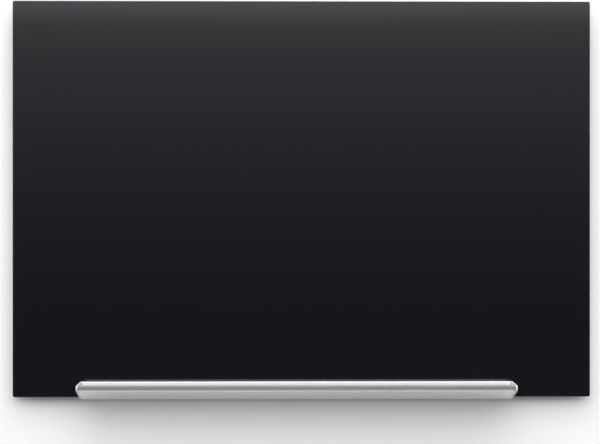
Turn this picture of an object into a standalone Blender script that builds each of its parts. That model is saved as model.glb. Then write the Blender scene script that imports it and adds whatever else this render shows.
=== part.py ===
"""Frameless glass whiteboard with a pen tray, hung on a wall rail.

The wall is the plane Y = 0 and the board faces -Y, with X across it and Z up. The origin is the
centre of the wall rail's back face. All sizes are in metres.
"""

import math

import bmesh
import bpy
from mathutils import Vector

# Running and bonding clearance between neighbouring pieces
GAP = 0.0003

# Glass panel
BOARD_WIDTH = 0.890
BOARD_HEIGHT = 0.610
GLASS_THICKNESS = 0.004
GLASS_CORNER = 0.003
GLASS_ARRIS = 0.0008

# Steel sheet bonded behind the glass
SHEET_THICKNESS = 0.0006
SHEET_INSET = 0.014
SHEET_CORNER = 0.006

# Mitred channels behind the sheet, open towards the middle of the board
FRAME_INSET = 0.022
CHANNEL_DEPTH = 0.011
CHANNEL_FLANGE = 0.016
CHANNEL_WALL = 0.0015
CHANNEL_FILLET = 0.0006

# Corner keys, which slide into two channels
KEY_LEG = 0.046
KEY_WIDTH = 0.0115
KEY_CHAMFER = 0.003
KEY_SCREW_REACH = 0.034
KEY_NOTCH_DEPTH = 0.0022
KEY_NOTCH_WIDTH = 0.0018
KEY_NOTCH_SHARES = (0.86, 0.78, 0.58, 0.50, 0.42)

# Countersunk screws of the keys and pan head screws of the tray guides
SCREW_RADIUS = 0.0015
SCREW_LENGTH = 0.0072
SCREW_POINT = 0.0009
COUNTERSUNK_RADIUS = 0.0027
COUNTERSUNK_DEPTH = 0.0012
PAN_RADIUS = 0.0026
PAN_HEIGHT = 0.0018
PAN_EDGE = 0.0006

# Rubber bumpers between the channels and the wall
BUMPER_HEIGHT = 0.0019
BUMPER_RADIUS = 0.006
BUMPER_ROUND = 0.0008
BUMPER_SHARE = 0.86

# Wall rail with its upturned lip
RAIL_MARGIN = 0.145
RAIL_HEIGHT = 0.030
RAIL_THICKNESS = 0.0015
RAIL_SHELF_RISE = 0.003
RAIL_SHELF = 0.0018
RAIL_LIP_PLAY = 0.0006
RAIL_LIP = 0.0018
RAIL_LIP_HEIGHT = 0.006
RAIL_LIP_ROUND = 0.0008
RAIL_FOOT = 0.0016
RAIL_FILLET = 0.0004
RAIL_SLOT_LENGTH = 0.012
RAIL_SLOT_WIDTH = 0.005
RAIL_SLOT_SHARES = (-0.84, -0.42, 0.42, 0.84)

# Tray extrusion: a hollow wedge in front of the glass and a hook round its bottom edge
TRAY_LEFT_MARGIN = 0.104
TRAY_RIGHT_MARGIN = 0.120
TRAY_DEPTH = 0.056
TRAY_TOP = 0.0243
TRAY_LAND = 0.0022
TRAY_WALL = 0.0015
TRAY_HEEL = 0.004
TRAY_FILLET = 0.0005
TRAY_WEB_SHARE = 0.5
TROUGH_SAG = 0.010
LIP_TOP = 0.0218
LIP_WIDTH = 0.0016
LIP_ROUND = 0.0002
LIP_LEAN = math.radians(2)
NOSE_RADIUS = 0.0035
NOSE_HEIGHT = 0.0175
HOOK_HEIGHT = 0.0133
HOOK_FLANGE = 0.005

# Soft liner between the hook and the glass
LINER_THICKNESS = 0.0006
LINER_FRONT = 0.021
LINER_REAR = 0.0115
LINER_SETBACK = 0.003

# End caps
CAP_THICKNESS = 0.0028
CAP_ROUND = 0.0007
CAP_PEG = 0.011
CAP_PEG_WALL = 0.0012
CAP_PEG_PLAY = 0.0003
CAP_PEG_REACH_SHARE = 0.5
CAP_GLASS_PLAY = 0.0006
CAP_LIP_RISE = 0.0012
CAP_CORNER = 0.003

# Nylon guides screwed under the bottom channel
GUIDE_PLATE = 0.0022
GUIDE_WALL = 0.002
GUIDE_LENGTH = 0.024
GUIDE_TAB = 0.011
GUIDE_TAB_STEP = 0.0004
GUIDE_LIP = 0.0022
GUIDE_FILLET = 0.0008
GUIDE_SHARES = (-0.52, 0, 0.52)

# Overrun of the cutters past the faces that they cut
OVERRUN = 0.002

# Facets of arcs and turned pieces
ARC_STEPS = 4
TROUGH_STEPS = 24
NOSE_STEPS = 10
CAP_STEPS = 3
TURN_STEPS = 16

# Places that follow from the sizes above, from the wall outwards and from the rail up
FRAME_BACK = -(BUMPER_HEIGHT + GAP)
FRAME_FRONT = FRAME_BACK - CHANNEL_DEPTH
SHEET_BACK = FRAME_FRONT - GAP
SHEET_FRONT = SHEET_BACK - SHEET_THICKNESS
GLASS_BACK = SHEET_FRONT - GAP
GLASS_FRONT = GLASS_BACK - GLASS_THICKNESS
FRAME_TOP = RAIL_SHELF_RISE + GAP + CHANNEL_FLANGE
BOARD_MIDDLE = FRAME_TOP + FRAME_INSET - BOARD_HEIGHT / 2
FRAME_HALF_WIDTH = BOARD_WIDTH / 2 - FRAME_INSET
FRAME_HALF_HEIGHT = BOARD_HEIGHT / 2 - FRAME_INSET
RAIL_LENGTH = BOARD_WIDTH - 2 * RAIL_MARGIN
TRAY_LENGTH = BOARD_WIDTH - TRAY_LEFT_MARGIN - TRAY_RIGHT_MARGIN
TRAY_SHIFT = (TRAY_LEFT_MARGIN - TRAY_RIGHT_MARGIN) / 2
HOOK_PLAY = GAP + LINER_THICKNESS + GAP
HOOK_FLOOR = -HOOK_PLAY
TRAY_BOTTOM = HOOK_FLOOR - TRAY_WALL
LEG_FRONT = -GLASS_THICKNESS - HOOK_PLAY
LEG_BACK = LEG_FRONT - TRAY_WALL


def empty(name, location, parent=None):
    """A carrier for the pieces that move together."""
    carrier = bpy.data.objects.new(name, None)
    bpy.context.collection.objects.link(carrier)
    carrier.location = location
    carrier.parent = parent
    return carrier


def finish(name, colour, roughness, metallic):
    """A plain Principled material."""
    material = bpy.data.materials.new(name)
    material.use_nodes = True
    shader = material.node_tree.nodes["Principled BSDF"]
    shader.inputs["Base Color"].default_value = (*colour, 1)
    shader.inputs["Roughness"].default_value = roughness
    shader.inputs["Metallic"].default_value = metallic
    return material


def mesh_of(bm, smooth_angle=None):
    """Closes a bmesh into a mesh whose faces point out."""
    bm.normal_update()
    bmesh.ops.recalc_face_normals(bm, faces=bm.faces)
    mesh = bpy.data.meshes.new("shape")
    bm.to_mesh(mesh)
    bm.free()
    if smooth_angle:
        mesh.shade_smooth()
        mesh.set_sharp_from_angle(angle=smooth_angle)
    return mesh


def piece(name, mesh, material, parent, location=(0, 0, 0), rotation=(0, 0, 0)):
    """One named sub-part on its carrier."""
    body = bpy.data.objects.new(name, mesh)
    bpy.context.collection.objects.link(body)
    if not mesh.materials:
        mesh.materials.append(material)
    body.parent = parent
    body.location = location
    body.rotation_euler = rotation
    return body


def shape_with(body, operation, tool_mesh, location=(0, 0, 0), rotation=(0, 0, 0)):
    """Cuts a tool from a body, or joins it to the body, and hides the tool."""
    tool = bpy.data.objects.new("tool", tool_mesh)
    bpy.context.collection.objects.link(tool)
    tool.parent = body
    tool.location = location
    tool.rotation_euler = rotation
    tool.hide_render = True
    tool.display_type = "WIRE"
    step = body.modifiers.new("shape", "BOOLEAN")
    step.operation = operation
    step.solver = "EXACT"
    step.object = tool


def arc(centre, radius, start, end, steps, rise=None):
    """Points of an arc, or of an ellipse whose upright radius is rise, between two angles."""
    upright = radius if rise is None else rise
    angles = [start + (end - start) * step / steps for step in range(steps + 1)]
    return [(centre[0] + radius * math.cos(a), centre[1] + upright * math.sin(a)) for a in angles]


def rounded(corners, steps=ARC_STEPS):
    """A closed outline from (across, up, radius) corners, each drawn as its own arc."""
    outline = []
    for index, (across, up, radius) in enumerate(corners):
        corner = Vector((across, up))
        before = Vector(corners[index - 1][:2]) - corner
        after = Vector(corners[(index + 1) % len(corners)][:2]) - corner
        if not radius:
            outline.append(corner.to_tuple())
            continue
        half = before.angle(after) / 2
        reach = min(radius / math.tan(half), before.length / 2, after.length / 2)
        tangent = corner + before.normalized() * reach
        centre = corner + (before.normalized() + after.normalized()).normalized() * reach / math.cos(half)
        spoke = tangent - centre
        turn = spoke.angle_signed(corner + after.normalized() * reach - centre)
        for step in range(steps + 1):
            angle = -turn * step / steps
            spun = Vector((
                spoke.x * math.cos(angle) - spoke.y * math.sin(angle),
                spoke.x * math.sin(angle) + spoke.y * math.cos(angle),
            ))
            outline.append((centre + spun).to_tuple())
    return outline


def rounded_rectangle(width, height, radius, steps=ARC_STEPS):
    """A rectangle centred on zero with round corners."""
    x = width / 2
    z = height / 2
    return rounded([(-x, -z, radius), (x, -z, radius), (x, z, radius), (-x, z, radius)], steps)


def prism(loops, low, high, place):
    """A solid whose section is the first outline less the others.

    It runs from low to high, and place(point, along) gives a section point's position.
    """
    bm = bmesh.new()
    edges = []
    for loop in loops:
        ring = [bm.verts.new(place(point, low)) for point in loop]
        edges += [bm.edges.new(pair) for pair in zip(ring, ring[1:] + ring[:1])]
    bmesh.ops.triangle_fill(bm, use_beauty=True, edges=edges)
    made = bmesh.ops.extrude_face_region(bm, geom=bm.faces[:])["geom"]
    far = [item for item in made if isinstance(item, bmesh.types.BMVert)]
    run = Vector(place((0, 0), high)) - Vector(place((0, 0), low))
    bmesh.ops.translate(bm, vec=run, verts=far)
    return bm


def along_x(point, along):
    """Places a (depth, up) section along X."""
    return (along, point[0], point[1])


def along_y(point, along):
    """Places an (across, up) outline along Y."""
    return (point[0], along, point[1])


def turned(profile, steps=TURN_STEPS):
    """A closed turned solid from a (radius, height) profile that starts and ends on the axis."""
    bm = bmesh.new()
    verts = [bm.verts.new((radius, 0, height)) for radius, height in profile]
    edges = [bm.edges.new(pair) for pair in zip(verts, verts[1:])]
    bmesh.ops.spin(
        bm, geom=verts + edges, cent=(0, 0, 0), axis=(0, 0, 1), angle=math.tau, steps=steps,
        use_merge=True,
    )
    bmesh.ops.remove_doubles(bm, verts=bm.verts, dist=GAP / 100)
    return bm


def tray_section():
    """The tray's outline as (out from the glass's front, up from its bottom edge) points."""
    corners = [
        (HOOK_PLAY, TRAY_TOP, TRAY_FILLET),
        (*TROUGH_ARC[0], TRAY_FILLET),
        *[(*point, 0) for point in TROUGH_ARC[1:-1]],
        (*TROUGH_ARC[-1], LIP_ROUND),
        (*front_face(LIP_TOP, 0), LIP_ROUND),
        *[(*point, 0) for point in nose(0)],
        (TRAY_HEEL, TRAY_BOTTOM, TRAY_FILLET),
        (LEG_BACK, TRAY_BOTTOM, TRAY_FILLET * 2),
        (LEG_BACK, HOOK_HEIGHT - TRAY_WALL, TRAY_FILLET),
        (LEG_BACK - HOOK_FLANGE, HOOK_HEIGHT - TRAY_WALL, TRAY_FILLET),
        (LEG_BACK - HOOK_FLANGE, HOOK_HEIGHT, TRAY_FILLET),
        (LEG_FRONT, HOOK_HEIGHT, TRAY_FILLET),
        (LEG_FRONT, HOOK_FLOOR, 0),
        (HOOK_PLAY, HOOK_FLOOR, 0),
    ]
    return rounded(corners)


def nose(inset):
    """The front of the tray, from its leaning face to its underside, moved inwards by inset."""
    return arc(
        (NOSE_MIDDLE, NOSE_HEIGHT), NOSE_RADIUS - inset, LIP_LEAN, UNDERSIDE_ANGLE - math.pi / 2,
        NOSE_STEPS,
    )


def front_face(up, inset):
    """The point at height up on the face above the nose, moved inwards by inset."""
    across, start = nose(inset)[0]
    return (across - (up - start) * math.tan(LIP_LEAN), up)


def top_side(across, inset):
    """Height of the tray's land, trough or lip, moved inwards by inset."""
    flat = (TRAY_TOP if across < TROUGH_CENTRE[0] else LIP_TOP) - inset
    radius = TROUGH_RADIUS + inset
    off = across - TROUGH_CENTRE[0]
    return min(flat, TROUGH_CENTRE[1] - math.sqrt(radius ** 2 - off ** 2))


def underside(across, inset):
    """Height of the tray's slanted underside, moved inwards by inset."""
    slant = TRAY_BOTTOM + (across - TRAY_HEEL) * math.tan(UNDERSIDE_ANGLE)
    return max(TRAY_BOTTOM + inset, slant + inset / math.cos(UNDERSIDE_ANGLE))


def chamber(low, high, inset, to_nose=False):
    """Outline of a hollow between the tray's walls, or of what fills it."""
    reach = [high + (low - high) * step / TROUGH_STEPS for step in range(TROUGH_STEPS + 1)]
    roof = [(across, top_side(across, inset)) for across in reach]
    front = reversed(nose(inset)) if to_nose else [(high, underside(high, inset))]
    return [(low, underside(low, inset)), *front, *roof]


def as_depth(outline):
    """Turns (out, up) points into (Y, Z) ones, because out is -Y."""
    return [(-out, up) for out, up in outline]


def channel(name, half_length, reach, turn):
    """A mitred channel whose outer face lies at reach from the middle of the board."""
    section = rounded([
        (FRAME_BACK, reach, CHANNEL_FILLET),
        (FRAME_BACK, reach - CHANNEL_FLANGE, 0),
        (FRAME_BACK - CHANNEL_WALL, reach - CHANNEL_FLANGE, 0),
        (FRAME_BACK - CHANNEL_WALL, reach - CHANNEL_WALL, CHANNEL_FILLET),
        (FRAME_FRONT + CHANNEL_WALL, reach - CHANNEL_WALL, CHANNEL_FILLET),
        (FRAME_FRONT + CHANNEL_WALL, reach - CHANNEL_FLANGE, 0),
        (FRAME_FRONT, reach - CHANNEL_FLANGE, 0),
        (FRAME_FRONT, reach, CHANNEL_FILLET),
    ])
    end = half_length - MITRE_GAP
    bm = prism([section], -end, end, along_x)
    for vert in bm.verts:
        vert.co.x -= math.copysign(reach - vert.co.z, vert.co.x)
    body = piece(name, mesh_of(bm), aluminium, board, rotation=(0, turn, 0))
    for side in (-1, 1):
        place = (side * (half_length - KEY_SCREW_REACH), FRAME_BACK, reach - CHANNEL_FLANGE / 2)
        shape_with(body, "DIFFERENCE", key_screw_hole, place, TO_WALL)
    return body


def key_outline():
    """A corner key's outline, as distances inwards from the frame's outer corner."""
    start = CHANNEL_WALL + GAP
    tip = start + KEY_LEG
    edge = start + KEY_WIDTH
    leg = [
        (tip - KEY_CHAMFER, start, 0),
        (tip, start + KEY_CHAMFER, 0),
        (tip, edge - KEY_CHAMFER, 0),
        (tip - KEY_CHAMFER, edge, 0),
    ]
    for share in KEY_NOTCH_SHARES:
        near = start + KEY_LEG * share
        far = near + KEY_NOTCH_WIDTH
        leg += [(far, edge, 0), (far, edge - KEY_NOTCH_DEPTH, 0)]
        leg += [(near, edge - KEY_NOTCH_DEPTH, 0), (near, edge, 0)]
    other_leg = [(up, across, radius) for across, up, radius in reversed(leg)]
    return rounded([(start, start, 0), *leg, (edge, edge, KEY_CHAMFER), *other_leg])


def corner_key(corner, side, level):
    """A nylon key in one corner of the frame, with the two screws that hold it."""
    outline = [
        (side * (FRAME_HALF_WIDTH - across), level * (FRAME_HALF_HEIGHT - up))
        for across, up in key_outline()
    ]
    back = FRAME_BACK - CHANNEL_WALL - GAP
    front = FRAME_FRONT + CHANNEL_WALL + GAP
    body = piece(f"corner_key_{corner}", mesh_of(prism([outline], front, back, along_y)), nylon, board)
    half_flange = CHANNEL_FLANGE / 2
    for number, (across, up) in enumerate(
        [(KEY_SCREW_REACH, half_flange), (half_flange, KEY_SCREW_REACH)], start=1
    ):
        place = (side * (FRAME_HALF_WIDTH - across), FRAME_BACK, level * (FRAME_HALF_HEIGHT - up))
        shape_with(body, "DIFFERENCE", key_bore, place, TO_WALL)
        piece(f"key_screw_{corner}_{number}", key_screw, screw_steel, board, place, TO_WALL)


def tray_guide(name, middle):
    """A nylon guide under the bottom channel, with its two screws."""
    wall_front = LEG_BACK - HOOK_FLANGE - GAP
    wall_back = wall_front - GUIDE_WALL
    lip_top = HOOK_HEIGHT - TRAY_WALL - GAP
    lip_bottom = lip_top - GUIDE_LIP
    plate_top = FRAME_INSET - GAP
    plate_bottom = plate_top - GUIDE_PLATE
    plate_front = GLASS_FRONT - FRAME_FRONT - CHANNEL_WALL
    section = rounded([
        (wall_back, lip_bottom, GUIDE_FILLET),
        (wall_back, plate_top, GUIDE_FILLET),
        (plate_front, plate_top, 0),
        (plate_front, plate_bottom, GUIDE_FILLET),
        (wall_front, plate_bottom, GUIDE_FILLET),
        (wall_front, lip_top, 0),
        (LEG_BACK - GAP, lip_top, GUIDE_FILLET),
        (LEG_BACK - GAP, lip_bottom, GUIDE_FILLET),
    ])
    end = GUIDE_LENGTH / 2 + GUIDE_TAB
    body = piece(
        name, mesh_of(prism([as_depth(section)], -end, end, along_x)), nylon, board,
        (middle, GLASS_FRONT, -BOARD_HEIGHT / 2),
    )
    tab_bottom = plate_bottom + GUIDE_TAB_STEP
    room = [
        (-wall_back + OVERRUN, lip_bottom - OVERRUN),
        (-wall_back + OVERRUN, tab_bottom),
        (-plate_front - OVERRUN, tab_bottom),
        (-plate_front - OVERRUN, lip_bottom - OVERRUN),
    ]
    screw_y = -(wall_back + plate_front) / 2
    for number, side in enumerate((-1, 1), start=1):
        cut = prism([room], side * GUIDE_LENGTH / 2, side * (end + OVERRUN), along_x)
        shape_with(body, "DIFFERENCE", mesh_of(cut))
        screw_x = side * (GUIDE_LENGTH + GUIDE_TAB) / 2
        shape_with(body, "DIFFERENCE", guide_bore, (screw_x, screw_y, plate_top))
        frame_place = (middle + screw_x, GLASS_FRONT + screw_y, FRAME_INSET - BOARD_HEIGHT / 2)
        # The bottom channel is turned over, so its own X and Z run the other way
        flipped = (-frame_place[0], frame_place[1], -frame_place[2])
        shape_with(frame_bottom, "DIFFERENCE", guide_bore, flipped)
        seat = (frame_place[0], frame_place[1], tab_bottom - GAP - BOARD_HEIGHT / 2)
        piece(f"{name}_screw_{number}", pan_screw, screw_steel, board, seat, UPWARD)


def cap_outline(inset):
    """The end cap's outline, moved inwards by inset."""
    return rounded([
        (CAP_GLASS_PLAY + inset, TRAY_TOP - inset, TRAY_FILLET),
        (TROUGH_START, TRAY_TOP - inset, 0),
        (*front_face(LIP_TOP + CAP_LIP_RISE - inset, inset), CAP_CORNER - inset),
        *[(*point, 0) for point in nose(inset)],
        (TRAY_HEEL, TRAY_BOTTOM + inset, TRAY_FILLET),
        (CAP_GLASS_PLAY + inset, TRAY_BOTTOM + inset, TRAY_FILLET),
    ])


def skin(rings):
    """A closed solid over a row of rings that have as many points each."""
    bm = bmesh.new()
    layers = [[bm.verts.new(point) for point in ring] for ring in rings]
    bm.faces.new(layers[0])
    bm.faces.new(layers[-1])
    for near, far in zip(layers, layers[1:]):
        for index in range(len(near)):
            bm.faces.new((near[index - 1], near[index], far[index], far[index - 1]))
    return bm


def end_cap(name, side):
    """A moulded cap with two hollow pegs that plug the tray's chambers."""
    edge = CAP_THICKNESS - CAP_ROUND
    rim = [
        (CAP_ROUND - reach, along)
        for reach, along in arc((0, edge), CAP_ROUND, 0, math.pi / 2, CAP_STEPS)
    ]
    bm = skin([
        [(side * along, *point) for point in as_depth(cap_outline(inset))]
        for inset, along in [(0, 0), *rim]
    ])
    place = (side * (TRAY_LENGTH / 2 - CAP_THICKNESS), 0, 0)
    body = piece(name, mesh_of(bm, math.radians(35)), cap_plastic, tray, place)
    inset = TRAY_WALL + CAP_PEG_PLAY
    low = REAR_CHAMBER[0] + CAP_PEG_PLAY
    high = REAR_CHAMBER[1] - CAP_PEG_PLAY
    hollow = chamber(low + CAP_PEG_WALL, high - CAP_PEG_WALL, inset + CAP_PEG_WALL)
    front_end = FRONT_CHAMBER + (NOSE_MIDDLE - FRONT_CHAMBER) * CAP_PEG_REACH_SHARE
    front_peg = chamber(FRONT_CHAMBER + CAP_PEG_PLAY, front_end, inset)
    for loops in ([chamber(low, high, inset), hollow], [front_peg]):
        outlines = [as_depth(loop) for loop in loops]
        peg = prism(outlines, -side * CAP_PEG, side * CAP_THICKNESS / 2, along_x)
        shape_with(body, "UNION", mesh_of(peg))


for old in list(bpy.data.objects):
    bpy.data.objects.remove(old)

# Plain finishes of the pieces
black_glass = finish("black_glass", (0.010, 0.011, 0.014), 0.06, 0)
sheet_steel = finish("sheet_steel", (0.62, 0.63, 0.64), 0.42, 1)
aluminium = finish("aluminium", (0.72, 0.72, 0.73), 0.34, 1)
tray_aluminium = finish("tray_aluminium", (0.80, 0.80, 0.80), 0.30, 1)
cap_plastic = finish("cap_plastic", (0.66, 0.69, 0.67), 0.50, 0)
nylon = finish("nylon", (0.03, 0.03, 0.03), 0.55, 0)
rubber = finish("rubber", (0.02, 0.02, 0.02), 0.85, 0)
screw_steel = finish("screw_steel", (0.60, 0.60, 0.58), 0.32, 1)
liner_soft = finish("liner_soft", (0.10, 0.10, 0.105), 0.75, 0)

# Turns that point a piece's own Z at the wall, or its own -Z up
TO_WALL = (-math.pi / 2, 0, 0)
UPWARD = (math.pi, 0, 0)

# Two channels' mitred ends lie half a gap each from the corner's diagonal
MITRE_GAP = GAP / math.sqrt(2)

# The tray's nose and underside
NOSE_MIDDLE = TRAY_DEPTH - NOSE_RADIUS
HEEL_TO_NOSE = Vector((NOSE_MIDDLE - TRAY_HEEL, NOSE_HEIGHT - TRAY_BOTTOM))
UNDERSIDE_ANGLE = (
    math.atan2(HEEL_TO_NOSE.y, HEEL_TO_NOSE.x) - math.asin(NOSE_RADIUS / HEEL_TO_NOSE.length)
)

# The trough hangs between the rear land and the lower lip, and the hollows lie under it
TROUGH_START = HOOK_PLAY + TRAY_LAND
TROUGH_END = front_face(LIP_TOP, 0)[0] - LIP_WIDTH
RIM_TO_RIM = Vector((TROUGH_END - TROUGH_START, LIP_TOP - TRAY_TOP))
TROUGH_RADIUS = ((RIM_TO_RIM.length / 2) ** 2 + TROUGH_SAG ** 2) / (2 * TROUGH_SAG)
TROUGH_TILT = math.atan2(RIM_TO_RIM.y, RIM_TO_RIM.x)
TROUGH_SWING = math.asin(RIM_TO_RIM.length / 2 / TROUGH_RADIUS)
TROUGH_CENTRE = (
    (TROUGH_START + TROUGH_END) / 2 - (TROUGH_RADIUS - TROUGH_SAG) * math.sin(TROUGH_TILT),
    (TRAY_TOP + LIP_TOP) / 2 + (TROUGH_RADIUS - TROUGH_SAG) * math.cos(TROUGH_TILT),
)
TROUGH_ARC = arc(
    TROUGH_CENTRE, TROUGH_RADIUS, TROUGH_TILT - math.pi / 2 - TROUGH_SWING,
    TROUGH_TILT - math.pi / 2 + TROUGH_SWING, TROUGH_STEPS,
)
WEB_MIDDLE = TRAY_DEPTH * TRAY_WEB_SHARE
REAR_CHAMBER = (HOOK_PLAY + TRAY_WALL, WEB_MIDDLE - TRAY_WALL / 2)
FRONT_CHAMBER = WEB_MIDDLE + TRAY_WALL / 2

# Carriers of the three bodies: the rail stays on the wall, the board lifts, the tray slides
wall_side = empty("wall_side", (0, 0, 0))
board = empty("board", (0, 0, BOARD_MIDDLE), wall_side)
tray = empty("tray", (TRAY_SHIFT, GLASS_FRONT, -BOARD_HEIGHT / 2), board)

# Glass panel with its polished arris, and the steel sheet behind it
glass_bm = prism(
    [rounded_rectangle(BOARD_WIDTH, BOARD_HEIGHT, GLASS_CORNER)], 0, GLASS_THICKNESS, along_y
)
glass = piece("glass_panel", mesh_of(glass_bm), black_glass, board, (0, GLASS_FRONT, 0))
arris = glass.modifiers.new("arris", "BEVEL")
arris.width = GLASS_ARRIS
arris.segments = 1
arris.limit_method = "ANGLE"
arris.angle_limit = math.radians(40)
sheet_outline = rounded_rectangle(
    BOARD_WIDTH - 2 * SHEET_INSET, BOARD_HEIGHT - 2 * SHEET_INSET, SHEET_CORNER
)
sheet_bm = prism([sheet_outline], 0, SHEET_THICKNESS, along_y)
piece("steel_sheet", mesh_of(sheet_bm), sheet_steel, board, (0, SHEET_FRONT, 0))

# Screws, and the holes that they pass through, all turned about their own Z
key_screw = mesh_of(turned([
    (0, 0),
    (COUNTERSUNK_RADIUS, 0),
    (SCREW_RADIUS, -COUNTERSUNK_DEPTH),
    (SCREW_RADIUS, SCREW_POINT - SCREW_LENGTH),
    (0, -SCREW_LENGTH),
]), math.radians(35))
key_screw_hole = mesh_of(turned([
    (0, OVERRUN),
    (COUNTERSUNK_RADIUS + GAP, OVERRUN),
    (COUNTERSUNK_RADIUS + GAP, 0),
    (SCREW_RADIUS + GAP, -COUNTERSUNK_DEPTH),
    (SCREW_RADIUS + GAP, -CHANNEL_WALL - OVERRUN),
    (0, -CHANNEL_WALL - OVERRUN),
]))
key_bore = mesh_of(turned([
    (0, OVERRUN),
    (SCREW_RADIUS + GAP, OVERRUN),
    (SCREW_RADIUS + GAP, -CHANNEL_DEPTH - OVERRUN),
    (0, -CHANNEL_DEPTH - OVERRUN),
]))
pan_screw = mesh_of(turned([
    (0, PAN_HEIGHT),
    (PAN_RADIUS - PAN_EDGE, PAN_HEIGHT),
    (PAN_RADIUS, PAN_HEIGHT - PAN_EDGE),
    (PAN_RADIUS, 0),
    (SCREW_RADIUS, 0),
    (SCREW_RADIUS, SCREW_POINT - SCREW_LENGTH),
    (0, -SCREW_LENGTH),
]), math.radians(35))
guide_bore = mesh_of(turned([
    (0, GUIDE_PLATE + OVERRUN),
    (SCREW_RADIUS + GAP, GUIDE_PLATE + OVERRUN),
    (SCREW_RADIUS + GAP, -GUIDE_PLATE - OVERRUN),
    (0, -GUIDE_PLATE - OVERRUN),
]))

# The four mitred channels
frame_top = channel("frame_top", FRAME_HALF_WIDTH, FRAME_HALF_HEIGHT, 0)
frame_bottom = channel("frame_bottom", FRAME_HALF_WIDTH, FRAME_HALF_HEIGHT, math.pi)
frame_left = channel("frame_left", FRAME_HALF_HEIGHT, FRAME_HALF_WIDTH, -math.pi / 2)
frame_right = channel("frame_right", FRAME_HALF_HEIGHT, FRAME_HALF_WIDTH, math.pi / 2)

# Corner keys with their screws, and a rubber bumper near each corner
bumper = mesh_of(turned([
    (0, 0),
    (BUMPER_RADIUS, 0),
    *arc(
        (BUMPER_RADIUS - BUMPER_ROUND, BUMPER_HEIGHT - BUMPER_ROUND), BUMPER_ROUND,
        0, math.pi / 2, ARC_STEPS,
    ),
    (0, BUMPER_HEIGHT),
]), math.radians(35))
for level_name, level in (("top", 1), ("bottom", -1)):
    for side_name, side in (("left", -1), ("right", 1)):
        corner_key(f"{level_name}_{side_name}", side, level)
        bumper_place = (
            side * FRAME_HALF_WIDTH * BUMPER_SHARE,
            -BUMPER_HEIGHT,
            level * (FRAME_HALF_HEIGHT - CHANNEL_FLANGE / 2),
        )
        piece(f"bumper_{level_name}_{side_name}", bumper, rubber, board, bumper_place, TO_WALL)

# Guides that carry the tray's rear leg
for name, share in zip(("tray_guide_left", "tray_guide_middle", "tray_guide_right"), GUIDE_SHARES):
    tray_guide(name, share * FRAME_HALF_WIDTH)

# Wall rail: the top channel's rear flange stands on its shelf, behind the lip
lip_inner = FRAME_BACK - CHANNEL_WALL - RAIL_LIP_PLAY
lip_outer = lip_inner - RAIL_LIP
lip_top = RAIL_SHELF_RISE + RAIL_LIP_HEIGHT
rail_section = rounded([
    (0, -RAIL_HEIGHT / 2, 0),
    (0, RAIL_HEIGHT / 2, 0),
    (-RAIL_THICKNESS, RAIL_HEIGHT / 2, RAIL_FILLET),
    (-RAIL_THICKNESS, RAIL_SHELF_RISE, RAIL_FILLET),
    (lip_inner, RAIL_SHELF_RISE, RAIL_FILLET),
    (lip_inner, lip_top, RAIL_LIP_ROUND),
    (lip_outer, lip_top, RAIL_LIP_ROUND),
    (lip_outer, RAIL_SHELF_RISE - RAIL_SHELF, RAIL_FILLET),
    (-RAIL_THICKNESS, RAIL_SHELF_RISE - RAIL_SHELF, RAIL_FILLET),
    (-RAIL_THICKNESS, RAIL_FOOT - RAIL_HEIGHT / 2, RAIL_FILLET),
    (-RAIL_THICKNESS - RAIL_FOOT, RAIL_FOOT - RAIL_HEIGHT / 2, RAIL_FILLET),
    (-RAIL_THICKNESS - RAIL_FOOT, -RAIL_HEIGHT / 2, RAIL_FILLET),
])
rail_bm = prism([rail_section], -RAIL_LENGTH / 2, RAIL_LENGTH / 2, along_x)
rail = piece("wall_rail", mesh_of(rail_bm), aluminium, wall_side)
slot_outline = rounded_rectangle(RAIL_SLOT_LENGTH, RAIL_SLOT_WIDTH, RAIL_SLOT_WIDTH / 2)
slot = mesh_of(prism([slot_outline], -RAIL_THICKNESS - OVERRUN, OVERRUN, along_y))
slot_height = (RAIL_SHELF_RISE - RAIL_SHELF + RAIL_FOOT - RAIL_HEIGHT / 2) / 2
for share in RAIL_SLOT_SHARES:
    shape_with(rail, "DIFFERENCE", slot, (share * RAIL_LENGTH / 2, 0, slot_height))

# Tray extrusion and the soft liner in its hook
tray_half = TRAY_LENGTH / 2 - CAP_THICKNESS - GAP
tray_loops = [
    tray_section(),
    chamber(*REAR_CHAMBER, TRAY_WALL),
    chamber(FRONT_CHAMBER, front_face(LIP_TOP, TRAY_WALL)[0], TRAY_WALL, to_nose=True),
]
tray_bm = prism([as_depth(loop) for loop in tray_loops], -tray_half, tray_half, along_x)
piece("tray_extrusion", mesh_of(tray_bm, math.radians(25)), tray_aluminium, tray)
liner_out = GAP + LINER_THICKNESS
liner_section = [
    (liner_out, LINER_FRONT),
    (GAP, LINER_FRONT),
    (GAP, -GAP),
    (-GLASS_THICKNESS - GAP, -GAP),
    (-GLASS_THICKNESS - GAP, LINER_REAR),
    (-GLASS_THICKNESS - liner_out, LINER_REAR),
    (-GLASS_THICKNESS - liner_out, -liner_out),
    (liner_out, -liner_out),
]
liner_half = tray_half - LINER_SETBACK
liner_bm = prism([as_depth(liner_section)], -liner_half, liner_half, along_x)
piece("tray_liner", mesh_of(liner_bm), liner_soft, tray)

# End caps
end_cap("end_cap_left", -1)
end_cap("end_cap_right", 1)
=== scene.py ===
"""A frameless black glass whiteboard with its aluminium pen tray, dressed for a studio picture."""

import math

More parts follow.
